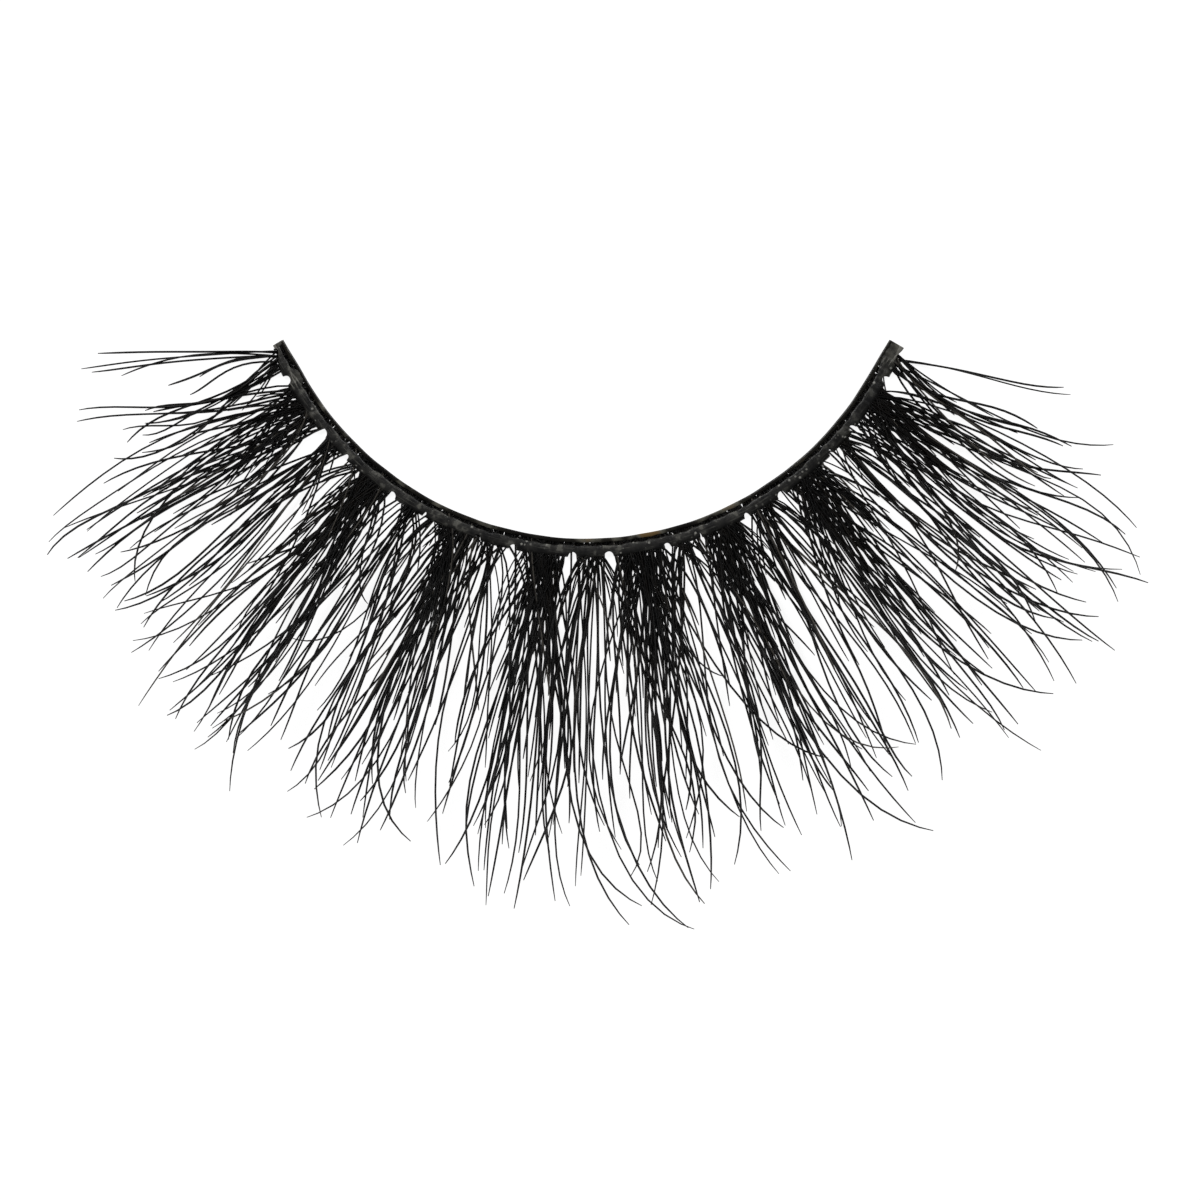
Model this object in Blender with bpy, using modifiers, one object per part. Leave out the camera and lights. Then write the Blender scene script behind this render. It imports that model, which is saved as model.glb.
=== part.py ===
"""False eyelash strip: crossing locks of hair on a band that is bent to the lid.

Metres, +Z up. The strip lies by itself: the underside of its band and the bellies of its
locks are on Z = 0, and the tips curl up. The origin is on the underside of the band, at its
middle. The band runs along X and bends towards +Y, and the hair spreads towards -Y.
"""

import math

import bmesh
import bpy
import numpy as np

MM = 0.001

# The band
BAND_LENGTH = 35.0 * MM
BAND_WIDTH = 0.76 * MM
BEND_RADIUS = 14.88 * MM  # of the band's middle line
STRAIGHT_END = 2.0 * MM  # each end of the band runs on straight for this long
THREAD_DIAMETER = 0.11 * MM
STRIP_WIDTH = 0.50 * MM
STRIP_THICKNESS = 0.12 * MM
STRIP_OVERHANG = 0.18 * MM  # of the glue strip past the last roots, at each end
STRIP_ROUNDING = 0.03 * MM
PIECE_GAP = 0.03 * MM  # between the roots and what lies on them
STATION_PITCH = 1.0 * MM  # between cross sections of the band

# The hair
HAIR_REACH = 17.2 * MM  # of the longest lock, seen from above, out of the band's middle line
TIP_HEIGHT = 7.6 * MM  # of the longest lock's tip
FLAT_SHARE = 0.16  # of a lock's reach lies on the table before it curls up
LOCK_WIDTH = 0.66 * MM
LOCK_THICKNESS = 0.18 * MM
TIP_WIDTH = 0.07 * MM  # one hair
ROOT_COVER = 0.012 * MM  # of root layer above and below a lock that starts in it
LOCK_SECTIONS = 7
HANDLE_SHARE = 0.45  # of a lock's reach that its handle at the root takes
NECK = 0.6  # width of a lock where it is tied, as a share of its full width
FULL_AT = 0.2  # share of a lock's run where it has its full width
TAPER_POWER = 1.15  # over 1 keeps the body of a lock full before it thins
WELD = 0.0001 * MM

# Each group of hairs: its place on half the band's length, its reach, and which way it points
GROUP_COLUMNS = ("place", "reach", "splay_deg", "width")
GROUPS = (
    (-0.945, 0.53, -6.0, 0.70),
    (-0.838, 0.76, 0.0, 1.00),
    (-0.697, 0.76, -2.0, 0.62),
    (-0.579, 0.85, -1.0, 0.88),
    (-0.453, 0.83, -3.0, 0.64),
    (-0.326, 0.87, -1.0, 0.95),
    (-0.215, 0.85, 0.0, 0.61),
    (-0.111, 0.93, -1.0, 0.86),
    (0.005, 0.92, 0.0, 0.72),
    (0.111, 0.99, 1.0, 0.89),
    (0.223, 0.91, 3.0, 0.63),
    (0.334, 0.94, 0.0, 0.96),
    (0.460, 0.95, -1.0, 0.65),
    (0.564, 0.94, 2.0, 0.87),
    (0.683, 0.88, 0.0, 0.73),
    (0.801, 0.90, -1.0, 0.99),
    (0.920, 0.75, -1.0, 0.71),
)

# The locks of one group: the spike in its middle, and those that leave it to cross its neighbours
# A lock's level is its share of the room that the root layer leaves above (1) or below it (-1)
LOCK_COLUMNS = ("shift", "lean_deg", "splay_deg", "reach", "width", "level", "lift")
LOCKS = (
    (0.00, 3.0, 0.0, 1.00, 1.00, 0.0, 1.00),
    (-0.14, -36.0, -6.4, 0.92, 0.55, 0.55, 0.90),
    (0.14, 37.0, 6.3, 0.94, 0.53, -0.5, 0.85),
    (0.20, -27.0, -3.2, 0.97, 0.42, 0.9, 0.77),
    (-0.20, 29.0, 2.9, 0.90, 0.44, -0.85, 0.96),
    (0.06, 15.0, 1.4, 0.78, 0.65, 0.3, 0.68),
)

# Single strays at the two ends, which sweep out past the last group
STRAY_COLUMNS = ("place", "lean_deg", "splay_deg", "reach", "width", "level", "lift")
STRAYS = (
    (-0.965, -30.0, -30.0, 0.47, 0.40, -0.2, 0.9),
    (-0.975, -8.0, -26.0, 0.52, 0.35, 0.4, 1.0),
    (-0.930, -20.0, -12.5, 0.53, 0.40, -0.7, 0.8),
    (-0.900, -4.0, -1.2, 0.70, 0.50, 0.1, 0.9),
    (0.965, 26.0, 19.5, 0.45, 0.40, -0.6, 0.9),
    (0.950, 6.0, 9.5, 0.62, 0.50, 0.7, 1.0),
)

ROOT_THICKNESS = LOCK_THICKNESS + 2 * ROOT_COVER
BEND_HALF_ANGLE = (BAND_LENGTH / 2 - STRAIGHT_END) / BEND_RADIUS
GROUP_PITCH = BAND_LENGTH / len(GROUPS)


def band_frame(along):
    """Plan points of the band's middle line, and the way out to the hair at each.

    along is the length from the middle, positive towards +X. The line is an arc about
    (0, BEND_RADIUS) that runs on straight past BEND_HALF_ANGLE.
    """
    angle = np.clip(along / BEND_RADIUS, -BEND_HALF_ANGLE, BEND_HALF_ANGLE)
    straight = (along - angle * BEND_RADIUS)[..., None]
    direction = np.stack([np.cos(angle), np.sin(angle)], axis=-1)
    out = np.stack([np.sin(angle), -np.cos(angle)], axis=-1)
    middle = np.array([0.0, BEND_RADIUS])
    return middle + BEND_RADIUS * out + straight * direction, out


def stations(length):
    """Lengths along the band for its cross sections, with the middle among them."""
    per_side = max(2, round(length / 2 / STATION_PITCH))
    return np.linspace(-length / 2, length / 2, 2 * per_side + 1)


def turned(vector, degrees):
    """The plan vector, turned away from straight out towards +X for a positive angle."""
    angle = math.radians(degrees)
    x, y = vector[..., 0], vector[..., 1]
    turned_x = x * math.cos(angle) - y * math.sin(angle)
    turned_y = x * math.sin(angle) + y * math.cos(angle)
    return np.stack([turned_x, turned_y], axis=-1)


def principled(name, colour, roughness):
    material = bpy.data.materials.new(name)
    material.use_nodes = True
    shader = material.node_tree.nodes["Principled BSDF"]
    shader.inputs["Base Color"].default_value = (*colour, 1.0)
    shader.inputs["Roughness"].default_value = roughness
    shader.inputs["Metallic"].default_value = 0.0
    material.diffuse_color = (*colour, 1.0)
    return material


def add_object(name, data, collection, material=None):
    obj = bpy.data.objects.new(name, data)
    collection.objects.link(obj)
    if material:
        data.materials.append(material)
    return obj


def apply_modifiers(obj):
    """Replaces the object's mesh by the one that its modifiers make."""
    bpy.context.view_layer.update()
    graph = bpy.context.evaluated_depsgraph_get()
    made = bpy.data.meshes.new_from_object(obj.evaluated_get(graph))
    obj.modifiers.clear()
    obj.data = made


def curve_to_mesh(curve_object, name, collection, material):
    """A mesh object made from the curve, with its end caps welded on."""
    bpy.context.view_layer.update()
    graph = bpy.context.evaluated_depsgraph_get()
    made = bpy.data.meshes.new_from_object(curve_object.evaluated_get(graph))
    weld = bmesh.new()
    weld.from_mesh(made)
    bmesh.ops.remove_doubles(weld, verts=weld.verts, dist=WELD)
    bmesh.ops.recalc_face_normals(weld, faces=weld.faces)
    weld.to_mesh(made)
    weld.free()
    obj = add_object(name, made, collection)
    made.materials.clear()
    made.materials.append(material)
    obj.matrix_world = curve_object.matrix_world
    bpy.data.objects.remove(curve_object)
    return obj


def add_spline(curve, points, radii):
    spline = curve.splines.new("POLY")
    spline.points.add(len(points) - 1)
    for point, place, radius in zip(spline.points, points, radii):
        point.co = (*place, 1.0)
        point.radius = radius


def band_ribbon(name, length, inner, outer, bottom, thickness, collection, material):
    """A flat ribbon that follows the band, from inner to outer, measured out of its middle line."""
    place, out = band_frame(stations(length))
    height = np.full((len(place), 1), bottom)
    near = np.hstack([place + inner * out, height])
    far = np.hstack([place + outer * out, height])
    points = np.concatenate([near, far])
    count = len(place)
    faces = [(i, i + count, i + count + 1, i + 1) for i in range(count - 1)]
    mesh = bpy.data.meshes.new(name)
    mesh.from_pydata(points.tolist(), [], faces)
    obj = add_object(name, mesh, collection, material)
    solid = obj.modifiers.new("Thickness", "SOLIDIFY")
    solid.thickness = thickness
    solid.offset = 1.0
    return obj


def lock_run(row):
    """Points along one lock.

    Seen from above it is a quadratic Bezier curve: it leaves the band at the lean, and its
    tip lies at the splay. Its height is the tip's height times the square of the share of
    its reach that is past the flat stretch.
    """
    root, out = band_frame(np.array(row["place"] * BAND_LENGTH / 2))
    length = row["reach"] * HAIR_REACH
    tip = root + length * turned(out, row["splay_deg"])
    handle = root + HANDLE_SHARE * length * turned(out, row["lean_deg"])
    along = np.linspace(0.0, 1.0, LOCK_SECTIONS)
    t = along[:, None]
    plan = (1 - t) ** 2 * root + 2 * t * (1 - t) * handle + t**2 * tip
    curl = np.clip((along - FLAT_SHARE) / (1 - FLAT_SHARE), 0.0, None) ** 2
    room = (1 - row["width"]) * LOCK_THICKNESS / 2
    lying = ROOT_THICKNESS / 2 + row["level"] * room
    height = lying + TIP_HEIGHT * row["reach"] * row["lift"] * curl
    return along, np.hstack([plan, height[:, None]])


def lock_width(along, width):
    """Width along a lock: narrow at its neck, then full, and one hair at the tip."""
    swell = NECK + (1 - NECK) * np.minimum(along / FULL_AT, 1.0)
    fall = np.clip((along - FULL_AT) / (1 - FULL_AT), 0.0, 1.0) ** TAPER_POWER
    full = width * LOCK_WIDTH * swell
    return full + (TIP_WIDTH - full) * fall


def every_lock():
    """A row for each lock, in the columns of STRAYS."""
    rows = [dict(zip(STRAY_COLUMNS, row)) for row in STRAYS]
    for group_row in GROUPS:
        group = dict(zip(GROUP_COLUMNS, group_row))
        for lock_row in LOCKS:
            lock = dict(zip(LOCK_COLUMNS, lock_row))
            shift = lock["shift"] * GROUP_PITCH / (BAND_LENGTH / 2)
            rows.append(
                {
                    "place": group["place"] + shift,
                    "lean_deg": lock["lean_deg"],
                    "splay_deg": group["splay_deg"] + lock["splay_deg"],
                    "reach": group["reach"] * lock["reach"],
                    "width": group["width"] * lock["width"],
                    "level": lock["level"],
                    "lift": lock["lift"],
                }
            )
    return rows


def lock_profile(collection):
    """The flat diamond that is carried along a lock, as wide as one full lock."""
    curve = bpy.data.curves.new("lock_profile", "CURVE")
    curve.dimensions = "2D"
    half_width, half_thickness = LOCK_WIDTH / 2, LOCK_THICKNESS / 2
    corners = [
        (half_width, 0.0, 0.0),
        (0.0, half_thickness, 0.0),
        (-half_width, 0.0, 0.0),
        (0.0, -half_thickness, 0.0),
    ]
    add_spline(curve, corners, [1.0] * len(corners))
    curve.splines[0].use_cyclic_u = True
    obj = add_object("lock_profile", curve, collection)
    obj.hide_render = True
    obj.display_type = "WIRE"
    return obj


def lash_fringe(collection, helpers):
    """The locks, fused to the layer of roots that runs along the band."""
    hair = principled("black hair", (0.008, 0.0075, 0.007), 0.38)
    roots = band_ribbon(
        "lash_fringe", BAND_LENGTH, -BAND_WIDTH / 2, BAND_WIDTH / 2, 0.0, ROOT_THICKNESS, collection, hair
    )
    curve = bpy.data.curves.new("locks", "CURVE")
    curve.dimensions = "3D"
    curve.twist_mode = "Z_UP"
    curve.bevel_mode = "OBJECT"
    curve.bevel_object = lock_profile(helpers)
    curve.use_fill_caps = True
    for row in every_lock():
        along, points = lock_run(row)
        add_spline(curve, points, lock_width(along, row["width"]) / LOCK_WIDTH)
    locks = curve_to_mesh(add_object("locks", curve, helpers), "locks", helpers, hair)
    locks.hide_render = True
    locks.display_type = "WIRE"
    fuse = roots.modifiers.new("Locks", "BOOLEAN")
    fuse.operation = "UNION"
    fuse.solver = "EXACT"
    fuse.use_self = True
    fuse.object = locks
    return roots


def glue_strip(collection):
    """The strip of dried glue over the roots, along the outer edge of the band."""
    glue = principled("dark glue", (0.028, 0.028, 0.030), 0.45)
    strip = band_ribbon(
        "glue_strip",
        BAND_LENGTH + 2 * STRIP_OVERHANG,
        BAND_WIDTH / 2 - STRIP_WIDTH,
        BAND_WIDTH / 2,
        ROOT_THICKNESS + PIECE_GAP,
        STRIP_THICKNESS,
        collection,
        glue,
    )
    edge = strip.modifiers.new("Rounded edges", "BEVEL")
    edge.width = STRIP_ROUNDING
    edge.segments = 1
    return strip


def seal_thread(collection):
    """The nylon thread along the inner edge, on top of the roots."""
    nylon = principled("brown nylon", (0.060, 0.034, 0.020), 0.30)
    curve = bpy.data.curves.new("seal_thread", "CURVE")
    curve.dimensions = "3D"
    curve.bevel_depth = THREAD_DIAMETER / 2
    curve.bevel_resolution = 1
    curve.use_fill_caps = True
    place, out = band_frame(stations(BAND_LENGTH))
    plan = place + (THREAD_DIAMETER / 2 - BAND_WIDTH / 2) * out
    height = ROOT_THICKNESS + PIECE_GAP + THREAD_DIAMETER / 2
    points = np.hstack([plan, np.full((len(plan), 1), height)])
    add_spline(curve, points, np.ones(len(points)))
    return curve_to_mesh(add_object("thread_path", curve, collection), "seal_thread", collection, nylon)


def main():
    for obj in list(bpy.data.objects):
        bpy.data.objects.remove(obj)
    strip = bpy.data.collections.new("false_eyelash_strip")
    helpers = bpy.data.collections.new("helpers")
    for collection in (strip, helpers):
        bpy.context.scene.collection.children.link(collection)
    fringe = lash_fringe(strip, helpers)
    apply_modifiers(fringe)
    apply_modifiers(glue_strip(strip))
    seal_thread(strip)


main()
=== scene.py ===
# %% [markdown]
# # A false eyelash strip, hair by hair
#
# A strip of false lashes is a bent band with some nine hundred tapered black hairs tied
# across it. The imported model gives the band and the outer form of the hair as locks. This
# script keeps that form and its places, and makes the single hairs, the stubs of their
# roots, the nylon thread that they are tied to and the dried glue that holds them.

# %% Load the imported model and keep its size
import math

import bpy
import numpy as np
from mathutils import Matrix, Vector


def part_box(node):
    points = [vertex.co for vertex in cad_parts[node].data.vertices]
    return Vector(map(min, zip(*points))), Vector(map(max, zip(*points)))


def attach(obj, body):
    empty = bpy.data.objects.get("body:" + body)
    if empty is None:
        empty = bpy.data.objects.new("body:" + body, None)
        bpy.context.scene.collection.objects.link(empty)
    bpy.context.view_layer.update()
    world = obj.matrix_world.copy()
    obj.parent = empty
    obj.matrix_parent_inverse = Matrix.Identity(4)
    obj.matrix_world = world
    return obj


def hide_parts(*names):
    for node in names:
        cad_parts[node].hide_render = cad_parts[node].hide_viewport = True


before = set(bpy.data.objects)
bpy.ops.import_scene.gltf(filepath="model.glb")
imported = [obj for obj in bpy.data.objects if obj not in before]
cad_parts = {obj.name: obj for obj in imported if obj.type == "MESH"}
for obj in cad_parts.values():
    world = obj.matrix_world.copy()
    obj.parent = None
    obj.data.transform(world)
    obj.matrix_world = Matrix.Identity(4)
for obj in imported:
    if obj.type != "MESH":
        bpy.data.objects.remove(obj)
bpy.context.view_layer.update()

# %% [markdown]
# The band is the one driving shape. Its middle line is an arc that runs on straight for the
# last two millimetres of each end. Everything else is placed by two numbers: how far along
# the band it stands, and how far out from the band's inner edge it reaches. The heights of
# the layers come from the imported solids, so no piece can drift off the part.

# %% Sizes of the band
MM = 0.001
BAND_LENGTH = 35.0 * MM
BAND_WIDTH = 0.76 * MM
BEND_RADIUS = 14.88 * MM
STRAIGHT_END = 2.0 * MM
BEND_HALF_ANGLE = (BAND_LENGTH / 2 - STRAIGHT_END) / BEND_RADIUS
BEND_CENTRE = np.array([0.0, BEND_RADIUS])

strip_low, strip_high = (float(corner[2]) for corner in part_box("glue_strip"))
thread_low, thread_high = (float(corner[2]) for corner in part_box("seal_thread"))
fringe_high = float(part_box("lash_fringe")[1][2])
print("glue from", round(1000 * strip_low, 3), "to", round(1000 * strip_high, 3), "mm")

# %% [markdown]
# Three small functions do the placing, each for a whole array at once. The first turns a
# length along the band into a point and the way out there, the second turns an angle read
# from the photograph into such a length, and the third turns a direction by an angle.

# %% Where a length along the band lies
def band_frame(along):
    """Plan points of the band's middle line and the way out to the hair at each.

    On the bend both turn by along / radius. Past the bend the way out stays as it is, and
    the point runs on straight.
    """
    angle = np.clip(along / BEND_RADIUS, -BEND_HALF_ANGLE, BEND_HALF_ANGLE)
    straight = (along - angle * BEND_RADIUS)[..., None]
    direction = np.stack([np.cos(angle), np.sin(angle)], axis=-1)
    out = np.stack([np.sin(angle), -np.cos(angle)], axis=-1)
    return BEND_CENTRE + BEND_RADIUS * out + straight * direction, out


def along_at(degrees):
    """Length along the band to where a ray from the bend's centre crosses it.

    It is radius times angle on the bend. Past it, the tangent of the rest of the angle is
    added.
    """
    angle = np.radians(degrees)
    bend = np.clip(angle, -BEND_HALF_ANGLE, BEND_HALF_ANGLE)
    return BEND_RADIUS * (bend + np.tan(angle - bend))


def turned(vector, degrees):
    """Plan vectors turned by an angle, towards +X where it is positive and they point down."""
    angle = np.radians(degrees)
    x, y = vector[..., 0], vector[..., 1]
    turned_x = x * np.cos(angle) - y * np.sin(angle)
    turned_y = x * np.sin(angle) + y * np.cos(angle)
    return np.stack([turned_x, turned_y], axis=-1)


print("half of the bend, degrees:", round(math.degrees(BEND_HALF_ANGLE), 1))

# %% [markdown]
# The camera comes before the hair, because the tips are placed from the photograph.
# It looks straight down, and a long lens half a metre up flattens the strip as the photograph
# does. A tip stands some millimetres above the table, so it looks a little further out than
# it is. `under_camera` brings it back in along its own sight line.

# %% Camera
CAMERA_HEIGHT = 0.5
FRAME_WIDTH = 53.39 * MM  # of the table, across the picture
VIEW_CENTRE = np.array([0.61 * MM, -2.32 * MM])

camera_data = bpy.data.cameras.new("camera")
camera_data.sensor_width = 36.0
camera_data.lens = 36.0 * CAMERA_HEIGHT / FRAME_WIDTH
camera = bpy.data.objects.new("camera", camera_data)
camera.location = (*VIEW_CENTRE, CAMERA_HEIGHT)
bpy.context.scene.collection.objects.link(camera)
bpy.context.scene.camera = camera


def under_camera(plan, height):
    """Plan points that look to be at plan when they are at height.

    It is the picture's middle plus the offset from it times one minus height / camera height.
    """
    return VIEW_CENTRE + (plan - VIEW_CENTRE) * (1 - height / CAMERA_HEIGHT)[..., None]


print("lens, mm:", round(camera_data.lens))

# %% [markdown]
# A mesh made from whole arrays needs only its points and its faces. All the tubes here are
# grids of four-cornered faces, so one function can make each of them. It also stores a
# number at each point under a name, which a material can read.

# %% Meshes from arrays
def quad_object(name, points, quads, **values):
    """A smooth mesh object from points (n, 3) and quads (m, 4), with named point values."""
    mesh = bpy.data.meshes.new(name)
    mesh.vertices.add(len(points))
    mesh.vertices.foreach_set("co", points.astype(np.float32).ravel())
    mesh.loops.add(quads.size)
    mesh.loops.foreach_set("vertex_index", quads.astype(np.int32).ravel())
    mesh.polygons.add(len(quads))
    mesh.polygons.foreach_set("loop_start", np.arange(0, quads.size, 4, dtype=np.int32))
    mesh.update(calc_edges=True)
    mesh.polygons.foreach_set("use_smooth", np.ones(len(quads), bool))
    for value_name, numbers in values.items():
        layer = mesh.attributes.new(value_name, "FLOAT", "POINT")
        layer.data.foreach_set("value", numbers.astype(np.float32).ravel())
    obj = bpy.data.objects.new(name, mesh)
    bpy.context.scene.collection.objects.link(obj)
    return obj


def tube_quads(tubes, sections, sides):
    """Faces of many closed tubes, whose points are numbered tube by tube, ring by ring.

    Each face joins two neighbours of one ring to the same two of the next. A cap pairs the
    points of an end ring from both sides of it, so it needs an even number of sides.
    """
    ring = np.arange(sections - 1)[:, None] * sides
    corner = np.arange(sides)[None, :]
    beside = (corner + 1) % sides
    walls = np.stack(
        [ring + corner, ring + beside, ring + sides + beside, ring + sides + corner], axis=-1
    ).reshape(-1, 4)
    pair = np.arange(sides // 2 - 1)
    start = np.stack([pair, sides - 1 - pair, sides - 2 - pair, pair + 1], axis=-1)
    end = (sections - 1) * sides + start[:, ::-1]
    one = np.concatenate([walls, start, end])
    return (one[None] + np.arange(tubes)[:, None, None] * sections * sides).reshape(-1, 4)


def tubes_along(lines, radii, sides):
    """Round tubes along lines (n, k, 3) with radii (n, k).

    A ring's points are the line's point plus radius times (cos a across + sin a over), where
    across is level and over completes the square with the line's direction.
    """
    direction = np.gradient(lines, axis=1)
    direction /= np.linalg.norm(direction, axis=-1, keepdims=True)
    across = np.cross(direction, [0.0, 0.0, 1.0])
    across /= np.linalg.norm(across, axis=-1, keepdims=True)
    over = np.cross(across, direction)
    turn = 2 * math.pi * np.arange(sides) / sides
    wide = np.cos(turn)[:, None] * across[:, :, None] + np.sin(turn)[:, None] * over[:, :, None]
    rings = lines[:, :, None] + radii[:, :, None, None] * wide
    return rings.reshape(-1, 3), tube_quads(len(lines), lines.shape[1], sides)


print("one hair of 15 rings and 4 sides has", len(tube_quads(1, 15, 4)), "faces")

# %% [markdown]
# A hair leaves the band at a lean, crosses its neighbours and then bends to run straight out,
# which is a cubic Bezier curve seen from above: one handle at the root that leans, and one
# at the tip that points out or sweeps aside. A slow wave is laid over it, since real hair is
# never quite even. A shorter hair of the same bundle is the first part of the same curve.
# From the side, a hair lies flat and then curls up with the square of its run. Its rings
# stand closer together towards the tip, where it bends most.

# %% The path of a hair
FLAT_SHARE = 0.16  # of the run lies on the table
LONGEST_REACH = 17.2 * MM  # of a hair that would rise by the whole tip height
TIP_HEIGHT = fringe_high - strip_low / 2
HAIR_SECTIONS = 15
RING_POWER = 1.25  # over one, so the rings close up towards the tip
HAIR_RUN = 1.0 - (1.0 - np.linspace(0.0, 1.0, HAIR_SECTIONS)) ** RING_POWER
ROOT_HANDLE = 0.24  # of the way from root to tip
TIP_HANDLE = 0.32
WAVES = 1.0  # over a hair's run
LAST_ROOT = BAND_LENGTH / 2 - 0.2 * MM  # no root lies past it


def tip_place(degrees, reach):
    """The plan point that lies at an angle about the bend's centre, reach out from the inner edge."""
    angle = np.radians(degrees)
    out = np.stack([np.sin(angle), -np.cos(angle)], axis=-1)
    return BEND_CENTRE + (BEND_RADIUS - BAND_WIDTH / 2 + reach)[..., None] * out


def hair_lines(root_along, root_in, lean, tip_degrees, reach, sweep, wave, phase, share, lift, lay):
    """Centre lines (n, HAIR_SECTIONS, 3) of hairs whose settings are arrays of n.

    Plan: (1-t)^3 root + 3t(1-t)^2 first handle + 3t^2(1-t) second handle + t^3 tip, with t
    from 0 to share, moved sideways by wave t sin(2 pi (WAVES t + phase)). Height: lay + tip
    height times the square of the run past its flat part.
    """
    middle, out = band_frame(np.clip(root_along, -LAST_ROOT, LAST_ROOT))
    root = middle - root_in[:, None] * out
    rise = TIP_HEIGHT * lift * reach / LONGEST_REACH
    tip = under_camera(tip_place(tip_degrees, reach), rise)
    length = np.linalg.norm(tip - root, axis=-1)[:, None]
    first = root + ROOT_HANDLE * length * turned(out, lean)
    tip_out = (tip - BEND_CENTRE) / np.linalg.norm(tip - BEND_CENTRE, axis=-1)[:, None]
    second = tip - TIP_HANDLE * length * turned(tip_out, sweep)
    t = HAIR_RUN[None, :, None] * share[:, None, None]
    plan = (
        (1 - t) ** 3 * root[:, None]
        + 3 * t * (1 - t) ** 2 * first[:, None]
        + 3 * t**2 * (1 - t) * second[:, None]
        + t**3 * tip[:, None]
    )
    sideways = wave[:, None] * t[..., 0] * np.sin(2 * math.pi * (WAVES * t[..., 0] + phase[:, None]))
    plan += sideways[..., None] * turned(tip_out, 90.0)[:, None]
    curl = np.clip((t[..., 0] - FLAT_SHARE) / (1 - FLAT_SHARE), 0.0, None) ** 2
    height = lay[:, None] + rise[:, None] * curl
    return np.concatenate([plan, height[..., None]], axis=-1)


print("tips rise", round(1000 * TIP_HEIGHT, 2), "mm")

# %% [markdown]
# The strip has seventeen groups of roots. Every second one is broad and dense, and the ones
# between are narrow, with a clear arch on each side of them. Each group sends bundles to the
# tips that show in the photograph, so the table is read from it: a group's angle about
# the bend's centre, its half width, how many hairs go to a tip straight out from it, how many
# short wisps it has, and each tip as an angle and a reach in millimetres from the band's inner
# edge.

# %% The groups of hair and their tips
GROUP_COLUMNS = ("root_deg", "half_mm", "hairs", "wisps", "tips")
GROUPS = (
    (-64.1, 0.48, 4, 8, ((-67.6, 5.6), (-64.6, 7.4), (-63.2, 7.8), (-62.6, 9.1))),
    (-55.9, 1.05, 8, 34, ((-67.2, 9.7), (-60.9, 12.5), (-58.3, 12.8), (-57.0, 12.7),
                          (-56.4, 13.4), (-54.2, 12.2), (-52.0, 12.2), (-51.2, 12.7))),
    (-47.2, 0.58, 3, 6, ((-54.0, 11.0), (-49.9, 12.4), (-48.5, 10.9), (-46.0, 13.4), (-44.8, 12.9),
                          (-42.3, 13.6))),
    (-39.7, 1.05, 8, 28, ((-46.8, 12.2), (-43.0, 12.6), (-41.2, 12.4), (-40.6, 14.0), (-39.4, 14.1),
                          (-38.6, 14.1), (-37.0, 14.6), (-35.8, 13.8), (-34.6, 14.0))),
    (-31.2, 0.60, 3, 4, ((-36.4, 12.8), (-33.0, 13.2), (-32.0, 14.1), (-31.0, 12.7), (-28.4, 14.5),
                          (-26.8, 12.6))),
    (-23.4, 1.03, 9, 28, ((-29.2, 12.6), (-27.5, 13.3), (-25.0, 13.6), (-24.4, 14.6), (-22.8, 14.3),
                          (-21.0, 15.3), (-20.0, 15.3), (-17.6, 12.0))),
    (-15.5, 0.68, 3, 6, ((-21.0, 12.4), (-17.4, 11.6), (-16.0, 12.8), (-14.0, 12.7), (-13.3, 14.7),
                          (-10.4, 12.8))),
    (-7.6, 1.03, 8, 32, ((-13.4, 12.4), (-10.2, 13.4), (-8.6, 16.4), (-8.2, 15.7), (-7.2, 15.7),
                          (-5.9, 16.5), (-4.4, 14.7), (-3.2, 15.8))),
    (0.85, 0.54, 4, 10, ((-4.6, 13.4), (-2.8, 14.0), (-0.9, 16.1), (-0.5, 14.9), (1.7, 14.9),
                          (5.2, 15.0))),
    (8.8, 0.99, 10, 36, ((2.8, 12.7), (4.8, 14.6), (6.6, 13.2), (8.6, 16.6), (9.8, 16.6), (10.5, 14.2),
                          (12.7, 14.5), (14.6, 13.0))),
    (16.8, 0.56, 3, 12, ((11.4, 13.4), (14.0, 13.2), (16.3, 16.1), (17.6, 14.2), (20.6, 12.8))),
    (23.8, 0.99, 9, 36, ((18.4, 12.8), (21.7, 15.1), (22.4, 16.5), (23.2, 14.7), (25.2, 15.1),
                          (27.0, 12.4), (28.4, 14.9))),
    (31.3, 0.64, 6, 12, ((26.4, 12.8), (29.4, 13.2), (31.3, 14.2), (31.9, 15.1), (34.7, 12.2),
                          (36.8, 12.0))),
    (40.3, 1.15, 8, 36, ((33.6, 11.2), (35.6, 13.9), (37.8, 15.3), (39.2, 14.0), (40.3, 15.6),
                          (42.6, 14.0), (43.2, 14.5), (45.0, 14.3), (46.6, 12.0))),
    (48.2, 0.54, 3, 10, ((42.6, 12.4), (47.8, 12.4), (49.3, 13.0), (51.2, 12.4),
                          (52.6, 12.2))),
    (55.8, 1.09, 8, 34, ((49.4, 12.0), (50.7, 15.0), (53.7, 14.6), (54.2, 14.9), (55.6, 13.6),
                          (56.8, 14.9), (57.6, 14.1), (60.0, 13.4), (61.2, 10.9))),
    (63.8, 0.50, 4, 6, ((59.6, 10.7), (61.7, 9.2), (62.9, 10.2), (64.2, 9.0))),
)

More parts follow.
